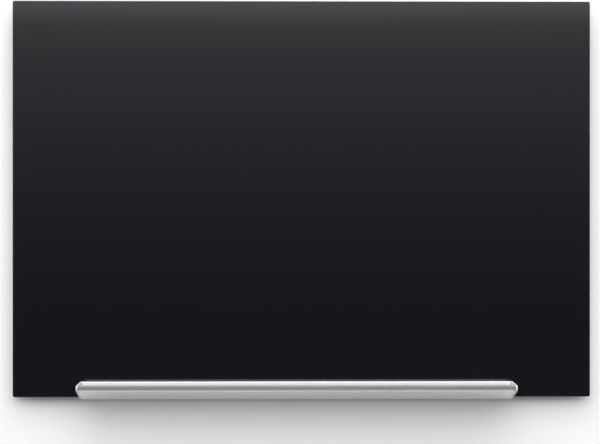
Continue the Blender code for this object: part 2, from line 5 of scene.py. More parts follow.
import bmesh
import bpy
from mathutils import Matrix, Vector


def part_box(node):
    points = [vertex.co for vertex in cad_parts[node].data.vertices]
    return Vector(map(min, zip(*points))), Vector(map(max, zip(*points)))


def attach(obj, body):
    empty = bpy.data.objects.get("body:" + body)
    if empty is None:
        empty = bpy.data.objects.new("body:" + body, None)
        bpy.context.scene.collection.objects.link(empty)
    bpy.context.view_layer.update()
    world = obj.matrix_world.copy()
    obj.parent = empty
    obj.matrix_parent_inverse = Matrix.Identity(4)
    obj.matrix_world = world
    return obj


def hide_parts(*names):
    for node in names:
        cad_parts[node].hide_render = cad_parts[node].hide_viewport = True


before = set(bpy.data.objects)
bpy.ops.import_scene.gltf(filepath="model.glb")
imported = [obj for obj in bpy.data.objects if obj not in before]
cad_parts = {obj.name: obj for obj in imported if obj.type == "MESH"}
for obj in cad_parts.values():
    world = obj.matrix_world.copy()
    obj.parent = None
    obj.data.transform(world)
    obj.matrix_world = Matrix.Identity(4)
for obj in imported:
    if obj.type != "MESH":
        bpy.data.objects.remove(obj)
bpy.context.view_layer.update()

# The camera stands a little left of the board's middle and below it, and looks along the wall's
# normal, turned slightly to the right. It was fitted to the board's corners and the tray's ends.
CAMERA_DISTANCE = 2.4576
CAMERA_LEFT = 0.0311
CAMERA_BELOW = 0.0353
CAMERA_TURN = 0.01147
CAMERA_LENS = 95.7
CAMERA_FAR_END = 60
SENSOR_WIDTH = 36
glass_low, glass_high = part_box("glass_panel")
board_middle = (glass_low + glass_high) / 2
camera = bpy.data.objects.new("camera", bpy.data.cameras.new("camera"))
bpy.context.scene.collection.objects.link(camera)
camera.data.sensor_width = SENSOR_WIDTH
camera.data.lens = CAMERA_LENS
camera.data.clip_end = CAMERA_FAR_END
camera.location = (
    board_middle.x - CAMERA_LEFT, glass_low.y - CAMERA_DISTANCE, board_middle.z - CAMERA_BELOW
)
camera.rotation_euler = (math.pi / 2, 0, -CAMERA_TURN)
bpy.context.scene.camera = camera

# The studio: a white wall that the board hangs on and a pale floor, neither part of the object. Both
# are painted on one side and clear from the other. The wall is open where the board hides it, and
# throws no shadow.
WALL_HALF_WIDTH = 2.4
WALL_RISE = 1.9
FLOOR_DROP = 1.45
FLOOR_REACH = 2.4
WALL_SETBACK = 0.0004
OPENING_INSET = 0.030
WALL_WHITE = (0.955, 0.955, 0.955, 1)
FLOOR_PALE = (0.34, 0.34, 0.336, 1)
FLOOR_DULL = (0.14, 0.14, 0.14, 1)


class Wire:
    """What comes out of a shader node, with arithmetic for plain values."""

    def __init__(self, socket):
        self.socket = socket

    def worked(self, operation, first, second):
        return add(self.socket.id_data, "ShaderNodeMath", {"operation": operation}, {0: first, 1: second})

    def __add__(self, other):
        return self.worked("ADD", self, other)

    def __radd__(self, other):
        return self.worked("ADD", other, self)

    def __sub__(self, other):
        return self.worked("SUBTRACT", self, other)

    def __rsub__(self, other):
        return self.worked("SUBTRACT", other, self)

    def __mul__(self, other):
        return self.worked("MULTIPLY", self, other)

    def __rmul__(self, other):
        return self.worked("MULTIPLY", other, self)


def add(tree, kind, settings=None, sockets=None, output=0):
    """Adds a node: first its settings, or a ramp's stops, then the values or links of its sockets."""
    made = tree.nodes.new(kind)
    for name, value in (settings or {}).items():
        if name == "stops":
            while len(made.color_ramp.elements) < len(value):
                made.color_ramp.elements.new(1)
            for element, (place, level) in zip(made.color_ramp.elements, value):
                element.position = place
                element.color = (level, level, level, 1)
        else:
            setattr(made, name, value)
    for name, value in (sockets or {}).items():
        if isinstance(value, Wire):
            tree.links.new(value.socket, made.inputs[name])
        else:
            made.inputs[name].default_value = value
    return Wire(made.outputs[output])


def stage_object(name, bm, material):
    """Links a mesh that is part of the studio and not of the object."""
    mesh = bpy.data.meshes.new(name)
    bm.to_mesh(mesh)
    bm.free()
    mesh.materials.append(material)
    made = bpy.data.objects.new(name, mesh)
    bpy.context.scene.collection.objects.link(made)
    return made


def one_sided_paint(name):
    """Matt paint that is clear from behind, and the socket of its colour."""
    material = bpy.data.materials.new(name)
    material.use_nodes = True
    tree = material.node_tree
    tree.nodes.remove(tree.nodes["Principled BSDF"])
    matt = add(tree, "ShaderNodeBsdfDiffuse")
    sides = add(tree, "ShaderNodeMixShader", sockets={
        0: add(tree, "ShaderNodeNewGeometry", output="Backfacing"),
        1: matt,
        2: add(tree, "ShaderNodeBsdfTransparent"),
    })
    tree.links.new(sides.socket, tree.nodes["Material Output"].inputs["Surface"])
    return material, matt.socket.node.inputs["Color"]


wall_paint, wall_colour = one_sided_paint("wall_paint")
wall_colour.default_value = WALL_WHITE

wall_bm = bmesh.new()
wall_foot = board_middle.z - FLOOR_DROP
hole_low = glass_low + Vector((OPENING_INSET, 0, OPENING_INSET))
hole_high = glass_high - Vector((OPENING_INSET, 0, OPENING_INSET))
wall_rings = []
for left, right, foot, head in (
    (-WALL_HALF_WIDTH, WALL_HALF_WIDTH, wall_foot, WALL_RISE),
    (hole_low.x, hole_high.x, hole_low.z, hole_high.z),
):
    corners = ((left, foot), (right, foot), (right, head), (left, head))
    wall_rings.append([wall_bm.verts.new((x, WALL_SETBACK, z)) for x, z in corners])
outer, inner = wall_rings
for index in range(4):
    wall_bm.faces.new((outer[index - 1], outer[index], inner[index], inner[index - 1]))
wall = stage_object("studio_wall", wall_bm, wall_paint)
wall.visible_shadow = False

floor_paint, floor_colour = one_sided_paint("floor_paint")
bounced = add(floor_paint.node_tree, "ShaderNodeLightPath", output="Is Diffuse Ray")
pale = add(floor_paint.node_tree, "ShaderNodeMix", {"data_type": "RGBA"}, {
    0: bounced, 6: FLOOR_PALE, 7: FLOOR_DULL,
}, output=2)
floor_paint.node_tree.links.new(pale.socket, floor_colour)
floor_bm = bmesh.new()
bmesh.ops.create_grid(floor_bm, x_segments=1, y_segments=1, size=FLOOR_REACH)
floor = stage_object("studio_floor", floor_bm, floor_paint)
floor.location = (0, 0, wall_foot)

# Light: a soft sky, brighter above and in front, with one soft panel overhead in front of the board
# and one high up behind it. Glass and metal mirror a room of their own: in front a bright band just
# above eye level over a dim lower half, and behind an even one.
SKY_ABOVE = 2.24
SKY_BELOW = 0.15
SKY_RISE_START, SKY_RISE_END = -0.05, 0.55
SKY_IN_FRONT = 1.38
SKY_BEHIND = 0.22
SKY_TURN_START, SKY_TURN_END = -1.0, 0.4
ROOM_BEHIND = 0.62
ROOM_TURN_START, ROOM_TURN_END = 0.05, 0.40
BAND_SCALE = 2
MIRRORED_FROM, MIRRORED_TO = -0.34, 0.40
MIRRORED = (
    (-0.34, 0.40), (-0.18, 0.28), (-0.12, 0.05), (-0.05, 0.065), (0.00, 0.15), (0.05, 0.30),
    (0.10, 0.53), (0.122, 0.75), (0.136, 1.60), (0.17, 1.70), (0.24, 0.80), (0.40, 0.62),
)
PANEL_WIDTH = 2.4
PANEL_LENGTH = 0.90
PANEL_POWER = 21
PANEL_PLACE = (0, -0.71, 1.625)
PANEL_LEAN = math.radians(6)
REAR_SIZE = 2.0
REAR_POWER = 17
REAR_PLACE = (0, 1.9, 1.1)
REAR_LEAN = math.radians(-55)

world = bpy.data.worlds.new("studio_sky")
bpy.context.scene.world = world
world.use_nodes = True
world.cycles.sampling_method = "NONE"
sky = world.node_tree
sky.nodes.clear()
direction = add(sky, "ShaderNodeTexCoord", output="Generated")
height = add(sky, "ShaderNodeSeparateXYZ", sockets={0: direction}, output="Z")
backward = add(sky, "ShaderNodeSeparateXYZ", sockets={0: direction}, output="Y")
ambient = add(sky, "ShaderNodeMapRange", {"interpolation_type": "SMOOTHSTEP"}, {
    "Value": height, "From Min": SKY_RISE_START, "From Max": SKY_RISE_END,
    "To Min": SKY_BELOW, "To Max": SKY_ABOVE,
})
along_band = add(sky, "ShaderNodeMapRange", sockets={
    "Value": height, "From Min": MIRRORED_FROM, "From Max": MIRRORED_TO,
})
band = add(sky, "ShaderNodeValToRGB", {"stops": [
    ((sine - MIRRORED_FROM) / (MIRRORED_TO - MIRRORED_FROM), level / BAND_SCALE)
    for sine, level in MIRRORED
]}, {0: along_band})
glossy = add(sky, "ShaderNodeLightPath", output="Is Glossy Ray")
eye = add(sky, "ShaderNodeLightPath", output="Is Camera Ray")
through = add(sky, "ShaderNodeLightPath", output="Is Transmission Ray")
forward = add(sky, "ShaderNodeMapRange", sockets={
    "Value": backward, "From Min": SKY_TURN_START, "From Max": SKY_TURN_END,
    "To Min": SKY_IN_FRONT, "To Max": SKY_BEHIND,
})
behind = add(sky, "ShaderNodeMapRange", {"interpolation_type": "SMOOTHSTEP"}, {
    "Value": backward, "From Min": ROOM_TURN_START, "From Max": ROOM_TURN_END,
})
mirrored = add(sky, "ShaderNodeMix", {"data_type": "FLOAT"}, {
    0: behind, 2: band * BAND_SCALE, 3: ROOM_BEHIND,
})
lit = add(sky, "ShaderNodeMix", {"data_type": "FLOAT"}, {0: glossy, 2: ambient * forward, 3: mirrored})
strength = add(sky, "ShaderNodeMix", {"data_type": "FLOAT"}, {0: eye + through, 2: lit, 3: 1.0})
background = add(sky, "ShaderNodeBackground", sockets={"Color": (1, 1, 1, 1), "Strength": strength})
sky_output = sky.nodes.new("ShaderNodeOutputWorld")
sky.links.new(background.socket, sky_output.inputs["Surface"])
bpy.context.scene.view_settings.view_transform = "Standard"


def soft_lamp(name, width, length, power, place, lean):
    """A rectangular lamp that leans about X."""
    lamp = bpy.data.objects.new(name, bpy.data.lights.new(name, "AREA"))
    bpy.context.scene.collection.objects.link(lamp)
    lamp.data.shape = "RECTANGLE"
    lamp.data.size = width
    lamp.data.size_y = length
    lamp.data.energy = power
    lamp.location = place
    lamp.rotation_euler = (lean, 0, 0)


soft_lamp("front_panel", PANEL_WIDTH, PANEL_LENGTH, PANEL_POWER, PANEL_PLACE, PANEL_LEAN)
soft_lamp("rear_panel", REAR_SIZE, REAR_SIZE, REAR_POWER, REAR_PLACE, REAR_LEAN)

# Wall rail: an aluminium extrusion in mill finish, screwed to the wall through its four slots. The
# board's top channel hangs on its upturned lip. Its solid has its shape, so it takes a finish only.
MILL_ALUMINIUM = (0.72, 0.72, 0.73)
MILL_DARK, MILL_LIGHT = 0.80, 1.08
MILL_SHINE = 0.12
DIE_LINES = 900
DIE_LINE_DEPTH = 0.00004
LINES_IN_TONE, LINES_DULL = 0.7, 0.14
HANDLING_MARKS = 14
MARKS_IN_TONE, MARKS_DULL = 0.3, 0.10
DRAWN_OUT = 0.004


def surface(name, roughness, metallic=0.0, **constants):
    """A Principled material, its node tree, and the position in metres as a wire."""
    material = bpy.data.materials.new(name)
    material.use_nodes = True
    shader = material.node_tree.nodes["Principled BSDF"]
    shader.inputs["Roughness"].default_value = roughness
    shader.inputs["Metallic"].default_value = metallic
    for socket, value in constants.items():
        shader.inputs[socket.replace("_", " ")].default_value = value
    return material, material.node_tree, add(material.node_tree, "ShaderNodeTexCoord", output="Object")


def feed(material, **wires):
    """Links wires into the material's Principled shader."""
    shader = material.node_tree.nodes["Principled BSDF"]
    for socket, wire in wires.items():
        material.node_tree.links.new(wire.socket, shader.inputs[socket.replace("_", " ")])


def noise(tree, place, scale, detail=2.0, stretch=(1, 1, 1)):
    """Noise in the object's own metres, drawn out along an axis whose stretch is small."""
    spread = add(tree, "ShaderNodeMapping", sockets={"Vector": place, "Scale": stretch})
    return add(tree, "ShaderNodeTexNoise", sockets={"Vector": spread, "Scale": scale, "Detail": detail})


def mixed(tree, factor, first, second):
    """A colour between two, each an RGB tuple or a wire."""
    sides = {
        place: side if isinstance(side, Wire) else (*side, 1)
        for place, side in ((6, first), (7, second))
    }
    return add(tree, "ShaderNodeMix", {"data_type": "RGBA"}, {0: factor, **sides}, output=2)


def shaded(colour, share):
    """A colour made lighter or darker."""
    return tuple(channel * share for channel in colour)


def bump(tree, height, strength, distance):
    """A surface normal from a height wire, in metres."""
    return add(tree, "ShaderNodeBump", sockets={
        "Height": height, "Strength": strength, "Distance": distance,
    })


def drawn_metal(name, colour, roughness, stretch):
    """Extruded metal as it leaves the die: fine lines along its length and dull handling marks."""
    material, tree, place = surface(name, roughness, metallic=1.0)
    lines = noise(tree, place, DIE_LINES, detail=3, stretch=stretch)
    handling = noise(tree, place, HANDLING_MARKS, detail=4)
    tone = lines * LINES_IN_TONE + handling * MARKS_IN_TONE
    feed(
        material,
        Base_Color=mixed(tree, tone, shaded(colour, MILL_DARK), shaded(colour, MILL_LIGHT)),
        Roughness=roughness - MILL_SHINE + lines * LINES_DULL + handling * MARKS_DULL,
        Normal=bump(tree, lines, strength=0.25, distance=DIE_LINE_DEPTH),
    )
    return material


def refinish(material, *names):
    """Gives nodes that keep their solids their finish."""
    for name in names:
        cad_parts[name].material_slots[0].material = material


ALONG_X, ALONG_Z = (DRAWN_OUT, 1, 1), (1, 1, DRAWN_OUT)
rail_metal = drawn_metal("rail_mill_finish", MILL_ALUMINIUM, 0.36, ALONG_X)
refinish(rail_metal, "wall_rail")

# Channels: four lengths of U-shaped aluminium extrusion, mitred at the corners and bonded to the
# back of the steel sheet. Their die lines run along each length.
refinish(drawn_metal("channel_mill_across", MILL_ALUMINIUM, 0.38, ALONG_X), "frame_top", "frame_bottom")
refinish(drawn_metal("channel_mill_upright", MILL_ALUMINIUM, 0.38, ALONG_Z), "frame_left", "frame_right")

# Corner keys and tray guides: black nylon mouldings. The keys join the channels inside the mitres,
# and the guides are screwed under the bottom channel to carry the tray's rear leg.
NYLON_BLACK = (0.026, 0.026, 0.028)
FLOW_MARKS = 60
FLOW_DULL = 0.16
GRAIN_BUMP = 0.3


def moulded(name, colour, roughness, grain_scale, depth, lighter):
    """Moulded plastic or rubber with an even grain and faint mottling from its flow."""
    material, tree, place = surface(name, roughness)
    grain = add(tree, "ShaderNodeTexVoronoi", {"feature": "SMOOTH_F1"}, {
        "Vector": place, "Scale": grain_scale,
    })
    flow = noise(tree, place, FLOW_MARKS, detail=4)
    feed(
        material,
        Base_Color=mixed(tree, flow, shaded(colour, 2 - lighter), shaded(colour, lighter)),
        Roughness=roughness - FLOW_DULL / 2 + flow * FLOW_DULL,
        Normal=bump(tree, grain, GRAIN_BUMP, depth),
    )
    return material


nylon = moulded(
    "black_nylon", NYLON_BLACK, roughness=0.50, grain_scale=1500, depth=0.00012, lighter=1.25
)
keys = [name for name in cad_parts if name.startswith("corner_key")]
guides = [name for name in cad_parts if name.startswith("tray_guide") and "screw" not in name]
refinish(nylon, *keys, *guides)

# Screws: small zinc plated steel screws with a cross recess. Two countersunk ones hold each corner
# key in its channels, and two pan head ones hold each guide.
ZINC = (0.60, 0.60, 0.575)
ZINC_WARM = (0.66, 0.62, 0.50)
ZINC_TINT = 420
ZINC_GRAIN = 5000
ZINC_SMOOTHEST, TINT_DULL = 0.22, 0.16
COUNTERSUNK_RADIUS = 0.0027
COUNTERSUNK_DEPTH = 0.0012
COUNTERSUNK_EDGE = 0.00012
COUNTERSUNK_TOP_SHARE = 0.98
SHANK_RADIUS = 0.0015
THREAD_DEPTH = 0.0003
THREAD_PITCH = 0.0006
SCREW_LENGTH = 0.0072
SCREW_POINT = 0.0009
POINT_RADIUS = 0.00025
PAN_RADIUS = 0.0026
PAN_HEIGHT = 0.0018
PAN_TOP_FLAT = 0.0004
PAN_CENTRE_OUT_SHARE, PAN_CENTRE_UP_SHARE = 0.55, 0.30
PAN_CROWN_SHARE = 0.45
PAN_STEPS = 8
RECESS_ARM = 0.00155
RECESS_WIDTH = 0.00055
RECESS_DEPTH = 0.0010
RECESS_TAPER = 0.45
TURN_STEPS = 40
SMOOTH_TO = 30
HEAD_SMOOTH_TO = 35


def mesh_from(bm, smooth_degrees=SMOOTH_TO):
    """Turns a bmesh into a mesh that faces out and is smooth up to an angle."""
    bm.normal_update()
    bmesh.ops.recalc_face_normals(bm, faces=bm.faces)
    mesh = bpy.data.meshes.new("shape")
    bm.to_mesh(mesh)
    bm.free()
    mesh.shade_smooth()
    mesh.set_sharp_from_angle(angle=math.radians(smooth_degrees))
    return mesh


def skin(rings):
    """A closed bmesh over a row of rings that have as many points each."""
    bm = bmesh.new()
    layers = [[bm.verts.new(point) for point in ring] for ring in rings]
    bm.faces.new(layers[0])
    bm.faces.new(layers[-1])
    for near, far in zip(layers, layers[1:]):
        for index in range(len(near)):
            bm.faces.new((near[index - 1], near[index], far[index], far[index - 1]))
    return bm


def turned(profile):
    """A closed turned bmesh from (radius, height) points, with flat ends."""
    angles = [math.tau * step / TURN_STEPS for step in range(TURN_STEPS)]
    return skin([[(r * math.cos(a), r * math.sin(a), z) for a in angles] for r, z in profile])


def arc(centre, radius, start, end, steps):
    """Points of an arc between two angles."""
    angles = [start + (end - start) * step / steps for step in range(steps + 1)]
    return [(centre[0] + radius * math.cos(a), centre[1] + radius * math.sin(a)) for a in angles]


def fit_out(name, mesh, material, body, slot, *nodes):
    """Puts a finished piece in the place of its plain solids, on their body."""
    made = bpy.data.objects.new(name, mesh)
    bpy.context.scene.collection.objects.link(made)
    if not mesh.materials:
        mesh.materials.append(material)
    flats = made.modifiers.new("flats_stay_flat", "WEIGHTED_NORMAL")
    flats.keep_sharp = True
    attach(made, body)
    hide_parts(*nodes)
    return made


def worked_with(operation, blank, *tools):
    """A mesh cut by others or joined with them."""
    parts = [bpy.data.objects.new("blank", mesh) for mesh in (blank, *tools)]
    for part in parts:
        bpy.context.scene.collection.objects.link(part)
    for tool in parts[1:]:
        step = parts[0].modifiers.new("step", "BOOLEAN")
        step.operation = operation
        step.object = tool
    bpy.context.view_layer.update()
    mesh = bpy.data.meshes.new_from_object(parts[0].evaluated_get(bpy.context.evaluated_depsgraph_get()))
    for part in parts:
        bpy.data.objects.remove(part)
    mesh.materials.clear()
    return mesh


def with_recess(bm, top):
    """Cuts a tapered cross into a screw head whose top is at the given height."""
    half = RECESS_WIDTH / 2
    cross = [
        (RECESS_ARM, -half), (RECESS_ARM, half), (half, half), (half, RECESS_ARM), (-half, RECESS_ARM),
        (-half, half), (-RECESS_ARM, half), (-RECESS_ARM, -half), (-half, -half), (-half, -RECESS_ARM),
        (half, -RECESS_ARM), (half, -half),
    ]
    levels = ((top + RECESS_DEPTH, 2 - RECESS_TAPER), (top - RECESS_DEPTH, RECESS_TAPER))
    punch = skin([[(x * share, y * share, z) for x, y in cross] for z, share in levels])
    return worked_with("DIFFERENCE", mesh_from(bm, HEAD_SMOOTH_TO), mesh_from(punch))


def shank(start):
    """A threaded shank that ends in a point, down from the given height."""
    profile = [(SHANK_RADIUS - THREAD_DEPTH, start)]
    turns = round((start + SCREW_LENGTH - SCREW_POINT) / THREAD_PITCH)
    for turn in range(turns):
        crest = start - (turn + 0.5) * THREAD_PITCH
        profile += [(SHANK_RADIUS, crest), (SHANK_RADIUS - THREAD_DEPTH, crest - THREAD_PITCH / 2)]
    return profile + [(POINT_RADIUS, -SCREW_LENGTH)]


def plated():
    """Bright zinc plating with a faint warm tint here and there."""
    material, tree, place = surface("zinc_plating", roughness=0.30, metallic=1.0)
    tint = noise(tree, place, ZINC_TINT)
    grain = noise(tree, place, ZINC_GRAIN)
    feed(
        material,
        Base_Color=mixed(tree, tint, ZINC, ZINC_WARM),
        Roughness=ZINC_SMOOTHEST + tint * TINT_DULL,
        Normal=bump(tree, grain, strength=0.2, distance=0.00002),
    )
    return material


zinc = plated()
countersunk_mesh = with_recess(turned([
    (COUNTERSUNK_RADIUS * COUNTERSUNK_TOP_SHARE, 0), (COUNTERSUNK_RADIUS, -COUNTERSUNK_EDGE),
    (SHANK_RADIUS, -COUNTERSUNK_DEPTH), *shank(-COUNTERSUNK_DEPTH - THREAD_PITCH / 2),
]), 0)
pan_centre = (PAN_RADIUS * PAN_CENTRE_OUT_SHARE, PAN_HEIGHT * PAN_CENTRE_UP_SHARE)
pan_dome = arc(pan_centre, PAN_RADIUS * PAN_CROWN_SHARE, math.pi / 2, 0, PAN_STEPS)
pan_mesh = with_recess(turned([
    (PAN_TOP_FLAT, PAN_HEIGHT),
    *[(radius, min(PAN_HEIGHT, height)) for radius, height in pan_dome],
    (PAN_RADIUS, 0), (SHANK_RADIUS, 0), *shank(-THREAD_PITCH / 2),
]), PAN_HEIGHT)
screws = [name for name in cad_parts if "screw" in name]
for name in screws:
    screw_low, screw_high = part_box(name)
    middle = (screw_low + screw_high) / 2
    if name.startswith("key"):
        screw = fit_out(f"{name}_fine", countersunk_mesh, zinc, "board", "screw_steel", name)
        screw.location = (middle.x, screw_high.y, middle.z)
        screw.rotation_euler = (-math.pi / 2, 0, 0)
    else:
        screw = fit_out(f"{name}_fine", pan_mesh, zinc, "board", "screw_steel", name)
        screw.location = (middle.x, middle.y, screw_low.z + PAN_HEIGHT)
        screw.rotation_euler = (math.pi, 0, 0)

# Bumpers: soft rubber domes stuck to the channels near the corners. They keep the board level and
# off the wall.
RUBBER_BLACK = (0.020, 0.020, 0.020)
BUMPER_EDGE = 0.0003
DOME_FLAT, DOME_ROUND = 0.06, 0.94
DOME_STEPS = 10
DOME_SMOOTH_TO = 50
rubber = moulded(
    "bumper_rubber", RUBBER_BLACK, roughness=0.80, grain_scale=2600, depth=0.00008, lighter=1.35
)
bumpers = [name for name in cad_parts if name.startswith("bumper")]
for name in bumpers:
    bumper_low, bumper_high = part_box(name)
    radius = (bumper_high.x - bumper_low.x) / 2
    tall = bumper_high.y - bumper_low.y
    dome = [
        (radius * (DOME_FLAT + DOME_ROUND * x), BUMPER_EDGE * 2 + (tall - BUMPER_EDGE * 2) * y)
        for x, y in arc((0, 0), 1, 0, math.pi / 2, DOME_STEPS)
    ]
    blank = turned([(radius - BUMPER_EDGE, 0), (radius, BUMPER_EDGE), *dome])
    mesh = mesh_from(blank, DOME_SMOOTH_TO)
    bumper = fit_out(f"{name}_fine", mesh, rubber, "board", "rubber", name)
    bumper.location = (
        (bumper_low.x + bumper_high.x) / 2, bumper_low.y, (bumper_low.z + bumper_high.z) / 2
    )
    bumper.rotation_euler = (-math.pi / 2, 0, 0)

# Steel sheet: thin galvanised sheet bonded behind the whole glass, so that magnets hold. Its back
# shows the crystals of the zinc. Its solid has its shape, so it takes a finish only.
SPANGLE_DARK = (0.52, 0.53, 0.54)
SPANGLE_LIGHT = (0.66, 0.67, 0.68)
SPANGLE_SCALE = 130
SPANGLE_WANDER, WANDER_REACH = 60, 0.012
SPANGLE_IN_TONE, SPANGLE_DULL, SPANGLE_RAISED = 0.75, 0.16, 0.6
ROLLED_LINES = 420
ROLLED_IN_TONE, ROLLED_DULL, ROLLED_RAISED = 0.25, 0.08, 0.4
SHEET_SMOOTHEST = 0.30
galvanised, tree, place = surface("galvanised_steel", roughness=0.42, metallic=1.0)
wander = noise(tree, place, SPANGLE_WANDER, detail=3)
bent = add(tree, "ShaderNodeVectorMath", {"operation": "MULTIPLY_ADD"}, {
    0: wander, 1: (WANDER_REACH, WANDER_REACH, WANDER_REACH), 2: place,
})
crystals = add(tree, "ShaderNodeTexVoronoi", sockets={
    "Vector": bent, "Scale": SPANGLE_SCALE,
}, output="Color")
tone = add(tree, "ShaderNodeSeparateColor", sockets={0: crystals}, output="Red")
rolled = noise(tree, place, ROLLED_LINES, detail=3, stretch=ALONG_X)
sheet_tone = tone * SPANGLE_IN_TONE + rolled * ROLLED_IN_TONE
feed(
    galvanised,
    Base_Color=mixed(tree, sheet_tone, SPANGLE_DARK, SPANGLE_LIGHT),
    Roughness=SHEET_SMOOTHEST + tone * SPANGLE_DULL + rolled * ROLLED_DULL,
    Normal=bump(tree, tone * SPANGLE_RAISED + rolled * ROLLED_RAISED, strength=0.10, distance=0.00005),
)
refinish(galvanised, "steel_sheet")

# Glass panel: one sheet of toughened glass with ground and polished arrises, its back painted
# black. It is bonded to the steel sheet, so nothing holds it from the front.
GLASS_ARRIS = 0.0008
GLASS_CORNER = 0.003
ARRIS_SOFT = 0.00022
ARRIS_SHOULDER = 0.3
CORNER_STEPS = 12
FINE_SMOOTH_TO = 24
GLASS_IOR = 1.52
GLASS_BLACK = (0.0052, 0.0060, 0.0088)
# Painted glow: a slightly lighter black, used in a band along the glass's borders where light would come
# in at its edges.
GLASS_GLOW_BLACK = (0.0054, 0.0064, 0.0090)
GLOW_WIDTH = 0.032
GLOW_BLEND = 0.02
GLASS_EDGE = (0.016, 0.026, 0.023)
EDGE_FROM, EDGE_TO = 0.80, 0.95
WIPE_MARKS = 5
WIPE_STRETCH = (0.5, 1, 1.6)
GLASS_SMOOTHEST, WIPE_DULL, EDGE_DULL = 0.02, 0.03, 0.06


def rounded_rectangle(low, high, radius):
    """A closed (x, z) outline with round corners, counter-clockwise."""
    middle = (low + high) / 2
    outline = []
    corners = ((high.x, high.z), (low.x, high.z), (low.x, low.z), (high.x, low.z))
    for quarter, (x, z) in enumerate(corners):
        centre = (x - math.copysign(radius, x - middle.x), z - math.copysign(radius, z - middle.z))
        outline += arc(centre, radius, quarter * math.pi / 2, (quarter + 1) * math.pi / 2, CORNER_STEPS)
    return outline


def glass_mesh():
    """The panel, with small rounds where each arris meets the face and the edge."""
    near = [
        (GLASS_ARRIS + ARRIS_SOFT, 0), (GLASS_ARRIS, ARRIS_SOFT * ARRIS_SHOULDER),
        (ARRIS_SOFT * ARRIS_SHOULDER, GLASS_ARRIS), (0, GLASS_ARRIS + ARRIS_SOFT),
    ]
    levels = [(inset, glass_low.y + out) for inset, out in near]
    levels += [(inset, glass_high.y - out) for inset, out in reversed(near)]
    rings = []
    for inset, y in levels:
        step = Vector((inset, 0, inset))
        outline = rounded_rectangle(glass_low + step, glass_high - step, GLASS_CORNER - inset)
        rings.append([(x, y, z) for x, z in outline])
    return mesh_from(skin(rings), FINE_SMOOTH_TO)


def glass_finish():
    """Black behind clear glass with dark green edges, and a painted glow that lightens the black along
    the borders.
    """
    material, tree, place = surface("black_glass", roughness=0.03, IOR=GLASS_IOR)
    sides = []
    half = (glass_high - glass_low) / 2
    for axis, middle, reach in (("X", board_middle.x, half.x), ("Z", board_middle.z, half.z)):
        along = add(tree, "ShaderNodeSeparateXYZ", sockets={0: place}, output=axis)
        sides.append(reach - add(tree, "ShaderNodeMath", {"operation": "ABSOLUTE"}, {0: along - middle}))
    # Painted glow: the face's black turns a little lighter within a band along the panel's borders.
    nearest = add(tree, "ShaderNodeMath", {"operation": "SMOOTH_MIN"}, {
        0: sides[0], 1: sides[1], 2: GLOW_BLEND,
    })
    painted_glow = add(tree, "ShaderNodeMapRange", {"interpolation_type": "SMOOTHERSTEP"}, {
        "Value": nearest, "From Min": 0.0, "From Max": GLOW_WIDTH, "To Min": 1.0, "To Max": 0.0,
    })
    normal = add(tree, "ShaderNodeNewGeometry", output="True Normal")
    facing = add(tree, "ShaderNodeSeparateXYZ", sockets={0: normal}, output="Y")
    edge = add(tree, "ShaderNodeMapRange", sockets={
        "Value": add(tree, "ShaderNodeMath", {"operation": "ABSOLUTE"}, {0: facing}),
        "From Min": EDGE_FROM, "From Max": EDGE_TO, "To Min": 1.0, "To Max": 0.0,
    })
    face = mixed(tree, painted_glow, GLASS_BLACK, GLASS_GLOW_BLACK)
    wiped = noise(tree, place, WIPE_MARKS, detail=4, stretch=WIPE_STRETCH)
    feed(
        material,
        Base_Color=mixed(tree, edge, face, GLASS_EDGE),
        Roughness=GLASS_SMOOTHEST + wiped * WIPE_DULL + edge * EDGE_DULL,
    )
    return material


fit_out("glass", glass_mesh(), glass_finish(), "board", "black_glass", "glass_panel")

# Pen tray: one aluminium extrusion, satin anodised. A trough hangs between the land at the glass
# and a lower lip in front, over a hollow wedge. Its hook wraps the glass's bottom edge, and its
# rear flange runs in the guides behind.
TRAY_DEPTH = 0.056
TRAY_TOP = 0.0243
TRAY_LAND = 0.0022
TRAY_WALL = 0.0015
TRAY_HEEL = 0.004
TRAY_FILLET = 0.0005
TRAY_WEB_SHARE = 0.5
TROUGH_SAG = 0.010
LIP_TOP = 0.0218
LIP_WIDTH = 0.0016
LIP_ROUND = 0.0002
LIP_LEAN = math.radians(2)
NOSE_RADIUS = 0.0035
NOSE_HEIGHT = 0.0175
HOOK_PLAY = 0.0012
HOOK_HEIGHT = 0.0133
HOOK_FLANGE = 0.005
NOSE_STEPS = 28
TROUGH_STEPS = 64
FILLET_STEPS = 6
ANODISED = (0.74, 0.74, 0.74)
ANODISED_DARK, ANODISED_LIGHT = 0.95, 1.03
SATIN_LINES, SATIN_STRETCH = 4000, (0.0015, 1, 1)
ETCHED_GRAIN = 2800
CLOUDS = 9
SATIN_LINES_IN_TONE, CLOUDS_IN_TONE = 0.6, 0.4
SATIN_SMOOTHEST, SATIN_LINES_DULL, ETCHED_DULL = 0.21, 0.07, 0.05
SATIN_LINES_RAISED, ETCHED_RAISED = 0.5, 0.5
tray_low, tray_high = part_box("tray_extrusion")
tray_bottom = -HOOK_PLAY - TRAY_WALL
leg_front = glass_low.y - glass_high.y - HOOK_PLAY
leg_back = leg_front - TRAY_WALL
nose_middle = TRAY_DEPTH - NOSE_RADIUS
heel_to_nose = Vector((nose_middle - TRAY_HEEL, NOSE_HEIGHT - tray_bottom))
underside_angle = (
    math.atan2(heel_to_nose.y, heel_to_nose.x) - math.asin(NOSE_RADIUS / heel_to_nose.length)
)


